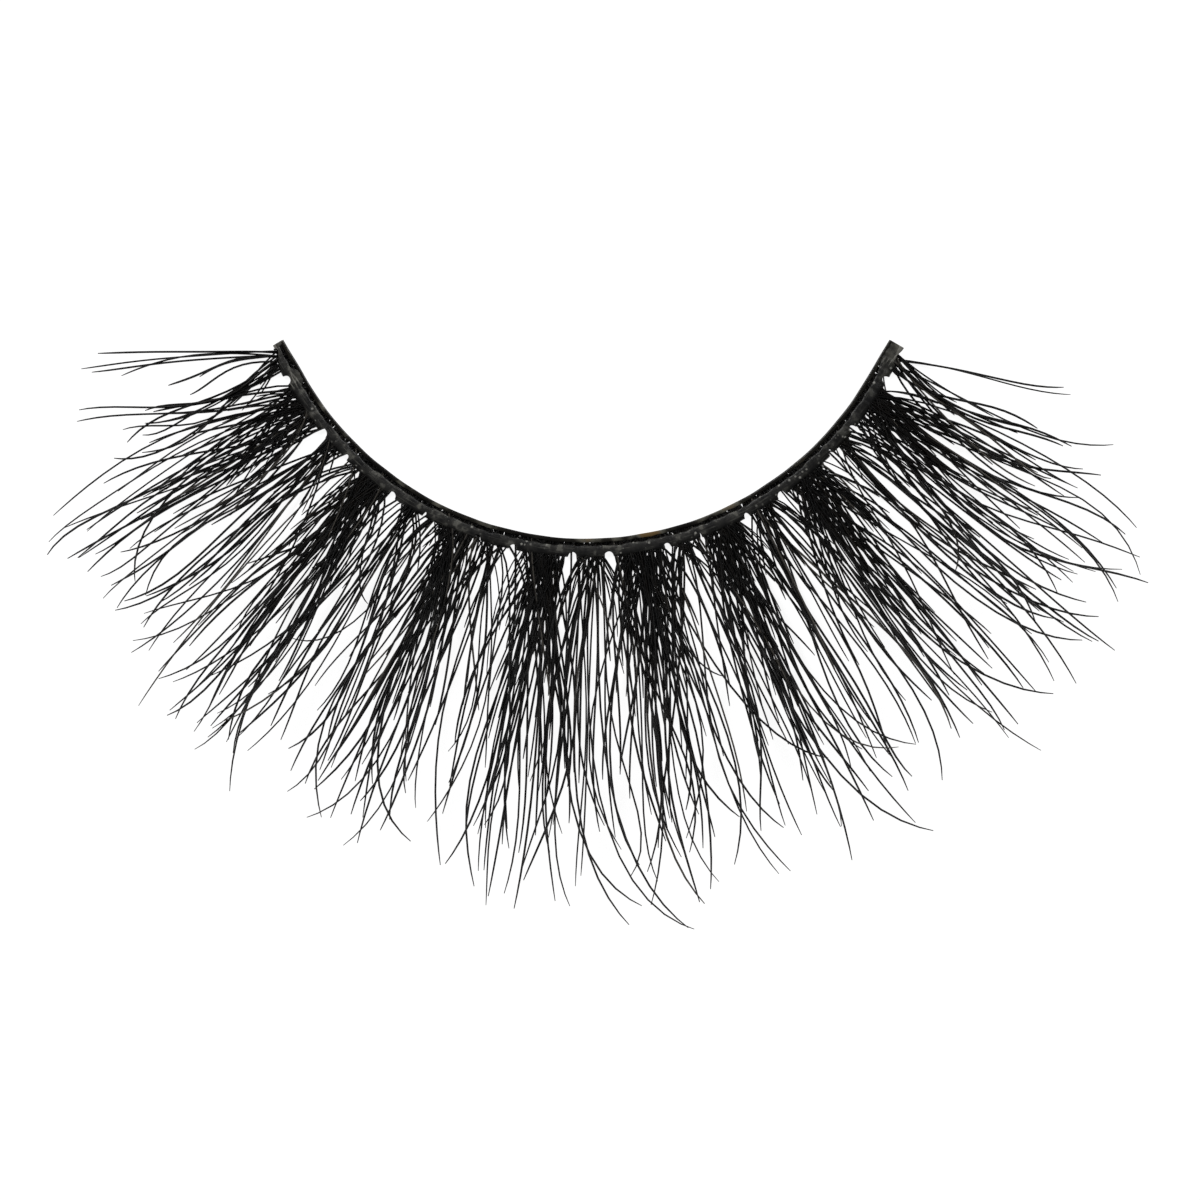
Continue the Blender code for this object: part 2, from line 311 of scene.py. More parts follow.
# Single hairs that stand out by themselves, each at its own root
LONE_COLUMNS = ("root_deg", "tip_deg", "reach_mm", "lean_deg", "sweep_deg")
LONE_HAIRS = (
    (-64.6, -74.0, 8.1, -42.0, -18.0),
    (-65.2, -73.0, 9.0, -34.0, -12.0),
    (-64.2, -72.4, 8.6, -36.0, -14.0),
    (-64.0, -71.0, 7.4, -40.0, 6.0),
    (-57.4, -51.0, 11.4, 6.0, 62.0),
    (-44.2, -50.0, 12.9, -30.0, -28.0),
    (-43.6, -42.3, 15.1, -4.0, 14.0),
    (-38.8, -31.6, 15.7, 4.0, 34.0),
    (-36.8, -29.0, 5.4, 20.0, 76.0),
    (-30.0, -35.4, 13.3, -6.0, -34.0),
    (-26.4, -34.6, 8.5, -12.0, -78.0),
    (-23.0, -24.7, 15.1, 4.0, -50.0),
    (-22.4, -15.6, 14.5, -6.0, 68.0),
    (-12.4, -12.3, 15.1, 12.0, -28.0),
    (-1.8, 3.3, 17.2, 10.0, 40.0),
    (-2.6, 4.4, 16.4, 4.0, 62.0),
    (0.4, 8.4, 17.7, 0.0, 66.0),
    (1.8, 8.0, 17.6, 2.0, 48.0),
    (9.4, 5.3, 16.4, -8.0, -20.0),
    (9.8, 24.0, 12.0, 24.0, 60.0),
    (9.0, 16.8, 7.0, 10.0, 64.0),
    (10.4, 11.4, 15.8, 16.0, 34.0),
    (11.8, 18.0, 14.2, 6.0, 38.0),
    (13.0, 16.4, 16.1, 6.0, 24.0),
    (22.0, 29.4, 17.0, -4.0, 50.0),
    (23.2, 31.8, 13.3, 8.0, 52.0),
    (22.6, 30.2, 13.0, 4.0, 70.0),
    (24.2, 28.2, 16.3, 6.0, 14.0),
    (37.4, 44.0, 15.3, 4.0, 44.0),
    (39.0, 40.1, 16.8, -4.0, 22.0),
    (47.6, 46.1, 15.7, 10.0, -18.0),
    (45.4, 49.3, 14.6, 4.0, 44.0),
    (46.0, 51.9, 14.5, 4.0, 40.0),
    (52.6, 45.9, 8.4, -20.0, -70.0),
    (50.8, 50.6, 16.0, 4.0, 2.0),
    (63.4, 70.2, 8.1, 34.0, 20.0),
    (63.8, 69.6, 8.5, 30.0, 14.0),
    (63.6, 66.3, 11.1, 10.0, 26.0),
)
print(len(GROUPS), "groups and", len(LONE_HAIRS), "lone hairs")

# %% [markdown]
# A table is easy to read by its rows, and arrays are made from its columns. So each table is
# turned into columns once. A group's numbers are then repeated for each of its tips, since
# one bundle of hairs goes to each tip.

# %% Columns of the tables
groups = dict(zip(GROUP_COLUMNS, zip(*GROUPS)))
lone = dict(zip(LONE_COLUMNS, np.array(LONE_HAIRS).T))
group_deg = np.array(groups["root_deg"])
group_half = np.array(groups["half_mm"]) * MM
group_reach = np.array([max(reach for _, reach in tips) for tips in groups["tips"]]) * MM

bundles_each = [len(tips) for tips in groups["tips"]]
group_of = np.repeat(group_deg, bundles_each)
half_of = np.repeat(group_half, bundles_each)
spike_hairs = np.repeat(groups["hairs"], bundles_each)
tip_of, reach_mm = np.concatenate(groups["tips"]).T
bundles = len(tip_of)
print(bundles, "bundles, the longest of", reach_mm.max(), "mm")

# %% [markdown]
# There are two kinds of bundle. Where a tip lies straight out from its group, the hairs stand
# close, draw together a few millimetres out and part again, which gives the black spikes.
# Where it lies to one side, a few hairs leave side by side at a steep lean, as a parallel
# sheet. The two are told apart by the angle between tip and group.

# %% Tell sheets from spikes
SIDE_FROM = 2.75  # degrees between tip and group that make a sheet
SHEET_HAIRS = 4
NARROW_HALF = 0.7 * MM  # a sheet of a group with a smaller half width has a hair less

aside = tip_of - group_of
sheet = np.abs(aside) > SIDE_FROM
hairs_each = np.where(sheet, SHEET_HAIRS - (half_of < NARROW_HALF), spike_hairs)
total = hairs_each.sum()
print(total, "hairs in", sheet.sum(), "sheets and", (~sheet).sum(), "spikes")

# %% [markdown]
# A bundle may start anywhere across its group, and a sheet rather on the side of its tip. So
# some sheets cross their own spike, and all of them meet the neighbour's sheets in a lattice
# over the arch between two groups, which stays free next to the glue. A sheet leans more, the
# further its tip lies to the side. The draws are seeded, so every run gives the same hairs.

# %% Draw the bundles
SHEET_START = (-0.55, 0.90)  # least and most, of the group's half width towards its tip
SPIKE_START = (-0.8, 0.8)
SHEET_LEAN = 11.0  # degrees at the root for each degree to the side
SPIKE_LEAN = 3.0
GREATEST_LEAN = 52.0
BUNDLE_LEAN = 5.0  # usual difference between two sheets
BUNDLE_SWEEP = 17.0  # usual turn of the ends, in degrees
SWEEP_OUT = 0.16  # more of it for each degree from the strip's middle
WAVE = 0.30 * MM

rng = np.random.default_rng(41)
start_of = rng.uniform(*SHEET_START, bundles) * np.sign(aside)
start_of = half_of * np.where(sheet, start_of, rng.uniform(*SPIKE_START, bundles))
lean_of = np.clip(SHEET_LEAN * aside, -GREATEST_LEAN, GREATEST_LEAN)
lean_of += rng.normal(0.0, BUNDLE_LEAN, bundles)
lean_of = np.where(sheet, lean_of, SPIKE_LEAN * aside)
sweep_of = rng.normal(0.0, BUNDLE_SWEEP, bundles) + SWEEP_OUT * tip_of
wave_of = rng.normal(0.0, WAVE, bundles)
phase_of = rng.uniform(0.0, 1.0, bundles)
print("leans, degrees:", round(lean_of.min()), "to", round(lean_of.max()))

# %% [markdown]
# In a bundle each hair differs a little from the next, most of all in a spike. The middle
# hair runs to the tip that the table gives, and most others end short of it. A few end well
# to the side, except near the ends of the strip, which are neat. Everything that one hair
# needs is an array over all hairs, and a helper spreads a bundle's value over its hairs.

# %% Draw the hairs of every bundle
# Each pair here is a number for a sheet and one for a spike
ROOT_PITCH = (0.19 * MM, 0.15 * MM)  # between neighbours
HAIR_LEAN = (3.0, 6.0)  # usual difference from the bundle's lean
GATHER = (0.0, 12.0)  # degrees that an outermost hair leans in
HAIR_SWEEP = (13.0, 21.0)  # usual difference from its sweep
TIP_SPREAD = (0.6, 1.7)  # usual difference from its tip, in degrees
SHARE_KEPT = (0.90, 1.0)  # of the drawn share of the way to the tip
FIRST_SHARE = (0.6, 0.84)  # the first hair of a bundle runs at least so far

UNEVEN_PITCH = 0.25
TIP_STEP = 0.35  # degrees between the tips of neighbours in a sheet
GREATEST_SWEEP = 34.0  # of a hair's end, either way
SHORTEST_SHARE = 0.34
SHARE_SHAPE = (1.1, 1.4)  # of the beta curve that the shares are drawn from
FAR_HAIRS = 0.12  # of the hairs stray FAR_TIMES as far from their bundle's tip
FAR_TIMES = 3.0
FAR_TO = 50.0  # degrees, since the ends of the strip are neat
TIP_PAST = 0.2 * MM  # a hair's fading end runs on past the place read from the photograph
REACH_SPREAD = 0.25 * MM
PHASE_SPREAD = 0.12
LEAST_LIFT = 0.74  # of the full curl
ROOT_IN = (0.16 * MM, 0.30 * MM)  # least and most, in from the band's middle line
LAY = (0.06 * MM, 0.24 * MM)  # least and most height of a root over the table
GLUE_EDGE = 0.66 * MM  # out from the band's inner edge, where a hair leaves the glue


def each(values):
    """A bundle's value, given to every hair of it."""
    return np.repeat(values, hairs_each)


def by_kind(pair):
    """The first number for each hair of a sheet, the second for each hair of a spike."""
    return each(np.where(sheet, *pair))


def draw(size):
    """A drawn number for each hair, with the given usual size."""
    return rng.normal(0.0, 1.0, total) * size


def root_place(degrees, start, lean, root_in):
    """Place of a root along the band, for a hair that leaves the glue start away from its group.

    Under the glue the hair runs back by the depth of its root times the tangent of its lean.
    """
    depth = GLUE_EDGE - BAND_WIDTH / 2 + root_in
    return along_at(degrees) + start - depth * np.tan(np.radians(lean))


first_hair = np.cumsum(hairs_each) - hairs_each
from_middle = np.arange(total) - each(first_hair + (hairs_each - 1) / 2)
start = each(start_of) + (from_middle + draw(UNEVEN_PITCH)) * by_kind(ROOT_PITCH)
lean = each(lean_of) + draw(by_kind(HAIR_LEAN))
lean -= by_kind(GATHER) * start / each(half_of)
root_in = rng.uniform(*ROOT_IN, total)
share = SHORTEST_SHARE + (1.0 - SHORTEST_SHARE) * rng.beta(*SHARE_SHAPE, total)
share *= by_kind(SHARE_KEPT)
share[first_hair + hairs_each // 2] = 1.0
share[first_hair] = rng.uniform(np.where(sheet, *FIRST_SHARE), 1.0)
sweep = each(sweep_of) + draw(by_kind(HAIR_SWEEP))
in_step = TIP_STEP * from_middle + draw(TIP_SPREAD[0])
tip_shift = np.where(each(sheet), in_step, draw(TIP_SPREAD[1]))
far = (rng.random(total) < FAR_HAIRS) & (np.abs(each(tip_of)) < FAR_TO)
tip_shift *= np.where(far, FAR_TIMES, 1.0)
main_hairs = {
    "root_along": root_place(each(group_of), start, lean, root_in),
    "root_in": root_in,
    "lean": lean,
    "tip_degrees": each(tip_of) + tip_shift * (share < 1.0),
    "reach": each(reach_mm) * MM + TIP_PAST + draw(REACH_SPREAD),
    "sweep": np.clip(sweep, -GREATEST_SWEEP, GREATEST_SWEEP),
    "wave": each(wave_of) + draw(WAVE),
    "phase": each(phase_of) + draw(PHASE_SPREAD),
    "share": share,
    "lift": rng.uniform(LEAST_LIFT, 1.0, total),
    "lay": rng.uniform(*LAY, total),
}
print(far.sum(), "of them stray, and", (share == 1.0).sum(), "run to their tip")

# %% [markdown]
# Between the bundles run finer wisps that lean much further and end early. They cross the
# roots of the neighbouring groups and fill the first few millimetres of the fringe. Every
# second one leans to the other side. None is kept at the very ends of the strip, which are
# neat. Each pair of numbers here is the least and the most.

# %% Draw the wisps
WISP_START = (-0.95, 0.8)  # of the group's half width, away from its tip
WISP_ASIDE = (0.5, 6.0)  # degrees between tip and group
WISP_LEAN = 14.0
WISP_LEAN_MORE = 7.5  # for each degree between tip and group
WISP_UNEVEN = 6.0  # usual difference from that lean
WISP_REACH = (0.7, 0.98)  # of the group's longest hair
WISP_SWEEP = 9.0
WISP_SHARE = (0.10, 0.50)
WISP_LEAST_LIFT = 0.70
WISPS_TO = 64.0  # degrees

wisp_group = np.repeat(np.arange(len(GROUPS)), groups["wisps"])
wisps = len(wisp_group)
wisp_side = np.where(np.arange(wisps) % 2, 1.0, -1.0)
wisp_start = -wisp_side * rng.uniform(*WISP_START, wisps) * group_half[wisp_group]
wisp_aside = wisp_side * rng.uniform(*WISP_ASIDE, wisps)
wisp_lean = WISP_LEAN * wisp_side + WISP_LEAN_MORE * wisp_aside
wisp_lean += rng.normal(0.0, WISP_UNEVEN, wisps)
wisp_in = rng.uniform(*ROOT_IN, wisps)
wisp_hairs = {
    "root_along": root_place(group_deg[wisp_group], wisp_start, wisp_lean, wisp_in),
    "root_in": wisp_in,
    "lean": wisp_lean,
    "tip_degrees": group_deg[wisp_group] + wisp_aside,
    "reach": group_reach[wisp_group] * rng.uniform(*WISP_REACH, wisps),
    "sweep": rng.normal(0.0, WISP_SWEEP, wisps),
    "wave": rng.normal(0.0, WAVE, wisps),
    "phase": rng.uniform(0.0, 1.0, wisps),
    "share": rng.uniform(*WISP_SHARE, wisps),
    "lift": rng.uniform(WISP_LEAST_LIFT, 1.0, wisps),
    "lay": rng.uniform(*LAY, wisps),
}
inner = np.abs(wisp_hairs["tip_degrees"]) < WISPS_TO
wisp_hairs = {key: numbers[inner] for key, numbers in wisp_hairs.items()}
print(inner.sum(), "wisps")

# %% [markdown]
# The lone hairs are the ones of the second table. They are whole hairs with hardly a wave, so
# each of them runs where the table says.

# %% Draw the lone hairs
LONE_IN = 0.25 * MM
LONE_WAVE = 0.1 * MM
LONE_LAY = 0.12 * MM
LONE_LEAST_LIFT = 0.8

lone_count = len(LONE_HAIRS)
lone_hairs = {
    "root_along": along_at(lone["root_deg"]),
    "root_in": np.full(lone_count, LONE_IN),
    "lean": lone["lean_deg"],
    "tip_degrees": lone["tip_deg"],
    "reach": lone["reach_mm"] * MM,
    "sweep": lone["sweep_deg"],
    "wave": np.full(lone_count, LONE_WAVE),
    "phase": np.linspace(0.0, 3.0, lone_count),
    "share": np.ones(lone_count),
    "lift": rng.uniform(LONE_LEAST_LIFT, 1.0, lone_count),
    "lay": np.full(lone_count, LONE_LAY),
}
print("longest lone hair, mm:", lone["reach_mm"].max())

# %% [markdown]
# A hair of this kind is 0.07 to 0.1 mm thick and keeps its thickness until close to its end,
# where it narrows quickly. One minus a high power of the run does that.

# %% Make the hairs
HAIR_THICK = 0.098 * MM
THICK_RANGE = (0.72, 1.08)  # of that, from hair to hair
HAIR_SIDES = 4
TIP_SHARE = 0.40  # of the thickness is left at a tip
TAPER_POWER = 20.0


def hair_object(name, settings, fineness):
    """One mesh of all the hairs, with a drawn tone for each of them.

    The thickness falls as one minus the run to the TAPER_POWER.
    """
    lines = hair_lines(**settings)
    hairs = len(lines)
    taper = TIP_SHARE + (1 - TIP_SHARE) * (1 - HAIR_RUN**TAPER_POWER)
    thick = fineness * HAIR_THICK * rng.uniform(*THICK_RANGE, hairs)
    points, quads = tubes_along(lines, thick[:, None] / 2 * taper, HAIR_SIDES)
    tone = np.repeat(rng.uniform(0.0, 1.0, hairs), HAIR_SECTIONS * HAIR_SIDES)
    return quad_object(name, points, quads, tone=tone)


lash_hairs = hair_object("lash_hairs", main_hairs, fineness=1.0)
lash_wisps = hair_object("lash_wisps", wisp_hairs, fineness=0.78)
lash_strays = hair_object("lash_strays", lone_hairs, fineness=0.95)
for piece in (lash_hairs, lash_wisps, lash_strays):
    print(piece.name, len(piece.data.polygons), "faces")

# %% [markdown]
# Under the glue the hairs are tied across the band, and their stubs lie side by side from the
# thread to well under the glue. They show as a dark stripe between the two, with tiny holes
# where two stubs part.

# %% Make the root stubs
STUB_PITCH = 0.05 * MM
STUB_UNEVEN = 0.3  # of the pitch
STUB_SECTIONS = 4
STUB_SPAN = BAND_LENGTH - 0.4 * MM
STUB_RUN = (-0.47, 0.24)  # of the band's width, in and out from its middle line
STUB_LEAN = 12.0  # usual lean in degrees
STUB_LAY = (0.05 * MM, strip_low - 0.06 * MM)
STUB_TONE = 0.5  # at most, so none of them is grey

stubs = round(BAND_LENGTH / STUB_PITCH)
stub_along = np.linspace(-0.5, 0.5, stubs) * STUB_SPAN
stub_along += rng.normal(0.0, STUB_UNEVEN, stubs) * STUB_PITCH
stub_place, stub_out = band_frame(stub_along)
stub_run = np.linspace(*STUB_RUN, STUB_SECTIONS)[None, :, None] * BAND_WIDTH
stub_way = turned(stub_out, rng.normal(0.0, STUB_LEAN, stubs))
stub_plan = stub_place[:, None] + stub_run * stub_way[:, None]
stub_height = np.repeat(rng.uniform(*STUB_LAY, stubs), STUB_SECTIONS)
stub_lines = np.concatenate([stub_plan, stub_height.reshape(stubs, STUB_SECTIONS, 1)], axis=-1)
stub_radii = np.full(stub_lines.shape[:2], HAIR_THICK / 2)
stub_points, stub_quads = tubes_along(stub_lines, stub_radii, HAIR_SIDES)
stub_tone = np.repeat(rng.uniform(0.0, STUB_TONE, stubs), STUB_SECTIONS * HAIR_SIDES)
root_stubs = quad_object("root_stubs", stub_points, stub_quads, tone=stub_tone)
print(stubs, "stubs")

# %% [markdown]
# The glue and the thread are one profile each, carried along the band. The profile is a
# rounded oblong: cosine and sine, each raised to a power under one, which flattens its top and
# keeps its edges soft. Along the band only its edges change. They follow uneven lines, and
# bells make them wider or narrower at one place.

# %% Profiles carried along the band
PROFILE_SIDES = 16


def squared(numbers, power):
    """The numbers' sizes raised to a power under one, with their signs kept."""
    return np.sign(numbers) * np.abs(numbers) ** power


def carried(name, along, inner, outer, low, high, power, droop=0.0, **values):
    """A closed rounded oblong carried along the band, with its edges given at each station.

    A point is the middle of the edges plus half the width times cos(a)^power out and half the
    height times sin(a)^power up. The outer half is let down by droop times cos(a)^(2 power).
    Heights may be one number for all stations.
    """
    place, out = band_frame(along)
    level = np.ones(len(along))
    middle_height = ((low + high) / 2 * level)[:, None]
    half_height = ((high - low) / 2 * level)[:, None]
    turn = -2 * math.pi * (np.arange(PROFILE_SIDES) + 0.5) / PROFILE_SIDES
    wide = squared(np.cos(turn), power)
    tall = squared(np.sin(turn), power)
    from_middle = ((inner + outer) / 2)[:, None] + wide * ((outer - inner) / 2)[:, None]
    from_middle -= BAND_WIDTH / 2
    plan = place[:, None] + from_middle[..., None] * out[:, None]
    let_down = (droop * level)[:, None] * np.clip(wide, 0.0, None) ** 2
    height = middle_height + tall * half_height - let_down
    points = np.concatenate([plan, height[..., None]], axis=-1).reshape(-1, 3)
    spread = {key: np.repeat(numbers, PROFILE_SIDES) for key, numbers in values.items()}
    spread["along_band"] = np.repeat(along, PROFILE_SIDES)
    spread["across_band"] = from_middle.ravel()
    return quad_object(name, points, tube_quads(1, len(along), PROFILE_SIDES), **spread)


def lumps(along, size, pitch, draws):
    """A smooth uneven line: size times a sum of ever shorter sines, each with a drawn phase."""
    waves = np.arange(1, draws + 1)
    phase = rng.uniform(0.0, 2 * math.pi, draws)
    angle = 2 * math.pi * along[:, None] / pitch * (0.37 * waves) + phase
    return size * (np.sin(angle) / waves**0.5).sum(axis=1) / draws**0.5


def bell(distance, run, power=2):
    """One where the distance is nought, and falling off as exp(-(distance / run)^power)."""
    return np.exp(-((distance / run) ** power))


print("a profile has", PROFILE_SIDES, "corners")

# %% [markdown]
# The glue was brushed on over the roots, so it has drawn out along each stem, pulled back into
# an arch between two stems, and set in low lumps. It closes over the whole width at the ends,
# and where a smear has crept over the thread. There it is thin, and the mesh carries a number
# that tells its material how pale it is.

# %% Make the glue
GLUE_STATIONS = 1201
GLUE_LENGTH = BAND_LENGTH - 0.08 * MM
GLUE_POWER = 0.55  # of the profile
GLUE_INNER = 0.29 * MM
GLUE_ARCH = 0.58 * MM  # outer edge at the top of an arch
GLUE_ON_STEM = 0.24 * MM  # further out along a stem
WEB_DROOP = 0.13 * MM  # that outer part thins out over the hairs
ARCH_PAST_STEM = (-0.04 * MM, 0.16 * MM)  # from a stem's side to where the arch starts
NO_STEM_RUN = 0.75 * MM  # at an end, where the outer edge is plain
CLOSED_INNER = 0.03 * MM  # inner edge where the glue closes over the whole width
LEFT_RUN = 0.14 * MM
RIGHT_RUN = 1.35 * MM
LEFT_PALE_RUN = 0.3 * MM
RIGHT_PALE_RUN = 0.7 * MM
CREEP_AT = -15.7 * MM  # a smear that runs over to the thread, near the left end
CREEP_RUN = 0.36 * MM
CREEP_PALE = 0.45
RIGHT_FLARE = 0.15 * MM  # added to the outer edge at the right end
RIGHT_FLARE_RUN = 0.45 * MM
BITE = 0.10 * MM  # taken out of the outer edge next to the left end
BITE_FROM_END = 0.30 * MM
BITE_RUN = 0.12 * MM
LEFT_TAPER = 0.08 * MM  # the whole left end is narrower by this
LEFT_TAPER_RUN = 1.0 * MM
INNER_LUMPS = (0.040 * MM, 1.1 * MM, 6)  # size, pitch and how many sines
OUTER_LUMPS = (0.014 * MM, 0.7 * MM, 6)
TOP_LUMPS = (0.014 * MM, 0.6 * MM, 8)
GLUE_TOP = strip_high - 0.03 * MM  # the lumps stand on it
GLUE_UNDER = strip_low - 0.02 * MM  # it has sunk in between the roots

glue_along = np.linspace(-0.5, 0.5, GLUE_STATIONS) * GLUE_LENGTH
from_left = glue_along - glue_along[0]
from_right = glue_along[-1] - glue_along

stem_at = along_at(group_deg)
arches = len(GROUPS) - 1
arch_start = stem_at[:-1] + group_half[:-1] + rng.uniform(*ARCH_PAST_STEM, arches)
arch_end = stem_at[1:] - group_half[1:] - rng.uniform(*ARCH_PAST_STEM, arches)
arch_middle = (arch_start + arch_end) / 2
arch_half = (arch_end - arch_start) / 2
from_arch = np.abs((glue_along[:, None] - arch_middle) / arch_half).min(axis=1)
on_stem = 1 - np.sqrt(1 - np.clip(from_arch, 0.0, 1.0) ** 2)
on_stem *= 1 - bell(np.minimum(from_left, from_right), NO_STEM_RUN, 6)

creep = bell(glue_along - CREEP_AT, CREEP_RUN, 4)
closed = np.maximum(bell(from_left, LEFT_RUN, 4), bell(from_right, RIGHT_RUN, 4))
closed = np.maximum(closed, creep)
pale = np.maximum(bell(from_left, LEFT_PALE_RUN), bell(from_right, RIGHT_PALE_RUN))
pale = np.maximum(pale, CREEP_PALE * creep)

glue_inner = GLUE_INNER + lumps(glue_along, *INNER_LUMPS)
glue_inner = glue_inner * (1 - closed) + CLOSED_INNER * closed
glue_outer = GLUE_ARCH + GLUE_ON_STEM * on_stem
glue_outer += RIGHT_FLARE * bell(from_right, RIGHT_FLARE_RUN)
glue_outer -= BITE * bell(from_left - BITE_FROM_END, BITE_RUN)
glue_outer -= LEFT_TAPER * bell(from_left, LEFT_TAPER_RUN, 4)
glue_outer += lumps(glue_along, *OUTER_LUMPS)
glue_high = GLUE_TOP + lumps(glue_along, *TOP_LUMPS)
dried_glue = carried(
    "dried_glue",
    glue_along,
    glue_inner,
    glue_outer,
    GLUE_UNDER,
    np.minimum(glue_high, strip_high),
    GLUE_POWER,
    droop=WEB_DROOP * on_stem,
    pale=pale,
)
glue_widest = (glue_outer - glue_inner).max()
print("glue", len(dried_glue.data.polygons), "faces, widest", round(1000 * glue_widest, 2), "mm")

# %% [markdown]
# The thread lies over the inner ends of the stubs. It was pulled tight, so it follows the bend
# with no more than a slow wave, and its width changes a little where glue has run on to it.

# %% Make the thread
THREAD_STATIONS = 601
THREAD_LENGTH = BAND_LENGTH - 0.1 * MM
THREAD_POWER = 0.9  # of the profile, so it is nearly round
THREAD_INNER = -0.035 * MM  # just past the band's inner edge
THREAD_WIDTH = 0.185 * MM
THREAD_WAVE = (0.012 * MM, 2.3 * MM, 4)  # size, pitch and how many sines
THREAD_LUMPS = (0.018 * MM, 0.8 * MM, 5)

thread_along = np.linspace(-0.5, 0.5, THREAD_STATIONS) * THREAD_LENGTH
thread_inner = THREAD_INNER + lumps(thread_along, *THREAD_WAVE)
thread_wide = THREAD_WIDTH + lumps(thread_along, *THREAD_LUMPS)
nylon_thread = carried(
    "nylon_thread",
    thread_along,
    thread_inner,
    thread_inner + thread_wide,
    thread_low - 0.02 * MM,
    thread_high - 0.01 * MM,
    THREAD_POWER,
)
thread_widest = thread_wide.max()
print("thread", len(nylon_thread.data.polygons), "faces, widest", round(1000 * thread_widest, 2), "mm")

# %% [markdown]
# Materials come next. Colours are written as they are picked on a screen, so one function
# turns them to the linear light that shaders work in. Another adds a node with its settings
# and links, and a third starts a material with its shader. Every material below is built with
# these three.

# %% Helpers for materials
def linear(hex_colour, alpha=1.0):
    """Linear light of an sRGB hex colour: ((c + 0.055) / 1.055) ** 2.4, or c / 12.92 when dark."""
    parts = [int(hex_colour[i : i + 2], 16) / 255 for i in (1, 3, 5)]
    light = [c / 12.92 if c <= 0.04045 else ((c + 0.055) / 1.055) ** 2.4 for c in parts]
    return (*light, alpha)


def add_node(tree, kind, values=None, links=None, stops=(), **settings):
    """A new node with its settings, socket values, incoming links and, on a ramp, its stops.

    A stop is a pair of the value where it stands and a hex colour.
    """
    made = tree.nodes.new(kind)
    for key, value in settings.items():
        setattr(made, key, value)
    for key, value in (values or {}).items():
        made.inputs[key].default_value = value
    for key, socket in (links or {}).items():
        tree.links.new(socket, made.inputs[key])
    for position, _ in stops[1:-1]:
        made.color_ramp.elements.new(position)
    for number, (position, hex_colour) in enumerate(stops):
        made.color_ramp.elements[number].position = position
        made.color_ramp.elements[number].color = linear(hex_colour)
    return made


def new_material(name):
    """An empty node material and its tree, with the Principled shader joined to the output."""
    material = bpy.data.materials.new(name)
    material.use_nodes = True
    tree = material.node_tree
    tree.nodes.clear()
    shader = add_node(tree, "ShaderNodeBsdfPrincipled")
    add_node(tree, "ShaderNodeOutputMaterial", links={"Surface": shader.outputs["BSDF"]})
    return material, tree, shader


print("#2b2b2b is", [round(value, 4) for value in linear("#2b2b2b")])

# %% [markdown]
# Mink-type lash hair is dyed black and has a fine cuticle, so it is nearly black with a satin
# grey line where it faces a light. Dye takes a little differently on each hair, so a number
# drawn for each one moves it between blue black and brown black, and one in 25 is painted grey
# all along as a painted highlight.
# Along a hair the gloss comes and goes in bands of about half a millimetre.

# %% Dyed mink hair
BAND_OF_GLOSS = 0.5 * MM
# Blue black to brown black by dye; the last, grey stop is a painted highlight
DYES_AND_PAINTED_HIGHLIGHT = ((0.0, "#0b0b0c"), (0.45, "#0f0e0e"), (0.8, "#151210"), (0.94, "#1c1814"), (0.962, "#5a5650"))


def mink_hair():
    """Colour by the hair's tone, and roughness by a noise in space."""
    material, tree, shader = new_material("dyed mink hair")
    tone = add_node(tree, "ShaderNodeAttribute", attribute_name="tone")
    dye = add_node(tree, "ShaderNodeValToRGB", links={"Fac": tone.outputs["Fac"]}, stops=DYES_AND_PAINTED_HIGHLIGHT)
    place = add_node(tree, "ShaderNodeTexCoord").outputs["Object"]
    gloss = add_node(
        tree, "ShaderNodeTexNoise", {"Scale": 1 / BAND_OF_GLOSS, "Detail": 3.0}, {"Vector": place}
    )
    rough = add_node(
        tree,
        "ShaderNodeMapRange",
        {"From Min": 0.3, "From Max": 0.7, "To Min": 0.34, "To Max": 0.54},
        {"Value": gloss.outputs["Fac"]},
    )
    tree.links.new(dye.outputs["Color"], shader.inputs["Base Color"])
    tree.links.new(rough.outputs["Result"], shader.inputs["Roughness"])
    shader.inputs["IOR"].default_value = 1.55
    shader.inputs["Specular IOR Level"].default_value = 0.22
    return material


hair_finish = mink_hair()
for piece in (lash_hairs, lash_wisps, lash_strays, root_stubs):
    piece.data.materials.append(hair_finish)
print(hair_finish.name, len(hair_finish.node_tree.nodes), "nodes")

# %% [markdown]
# Streaks and scratches run along the band, so their pattern has to follow the bend. The mesh
# carries two lengths at each point, along the band and across it. Each is divided by the size
# of a grain that way, and a noise reads the two as its place.

# %% A pattern that follows the band
def band_pattern(tree, length, width):
    """Noise that is stretched along the band: one grain is length long and width wide."""
    place = add_node(tree, "ShaderNodeCombineXYZ")
    for socket, attribute, size in (("X", "along_band", length), ("Y", "across_band", width)):
        read = add_node(tree, "ShaderNodeAttribute", attribute_name=attribute)
        scaled = add_node(
            tree, "ShaderNodeMath", {1: 1 / size}, {0: read.outputs["Fac"]}, operation="MULTIPLY"
        )
        tree.links.new(scaled.outputs[0], place.inputs[socket])
    settings = {"Scale": 1.0, "Detail": 3.0}
    noise = add_node(tree, "ShaderNodeTexNoise", settings, {"Vector": place.outputs[0]})
    return noise.outputs["Fac"]


print("the band is", round(1000 * BAND_LENGTH), "mm long for such a pattern")

# %% [markdown]
# Latex-type lash glue dries to a dark grey skin, satin and a little cloudy where it is thick. The
# brush leaves fine streaks along the band. Air bubbles and dust show as pale specks in
# patches. Near the cut ends the glue is thin, so it is cloudy and pale there, with scratches
# along it whose highlight is painted on as pale lines. Over the hairs it thins out to black, and
# on the right it was put on thicker, which leaves it darker. So the material is a skin with
# layers over it. Each layer has one colour and an amount, which is a pattern stretched to run
# from nothing to all.

# %% Dried glue
GLUE_SKIN = ((0.34, "#262627"), (0.56, "#454442"), (0.64, "#807f78"))  # clear to cloudy
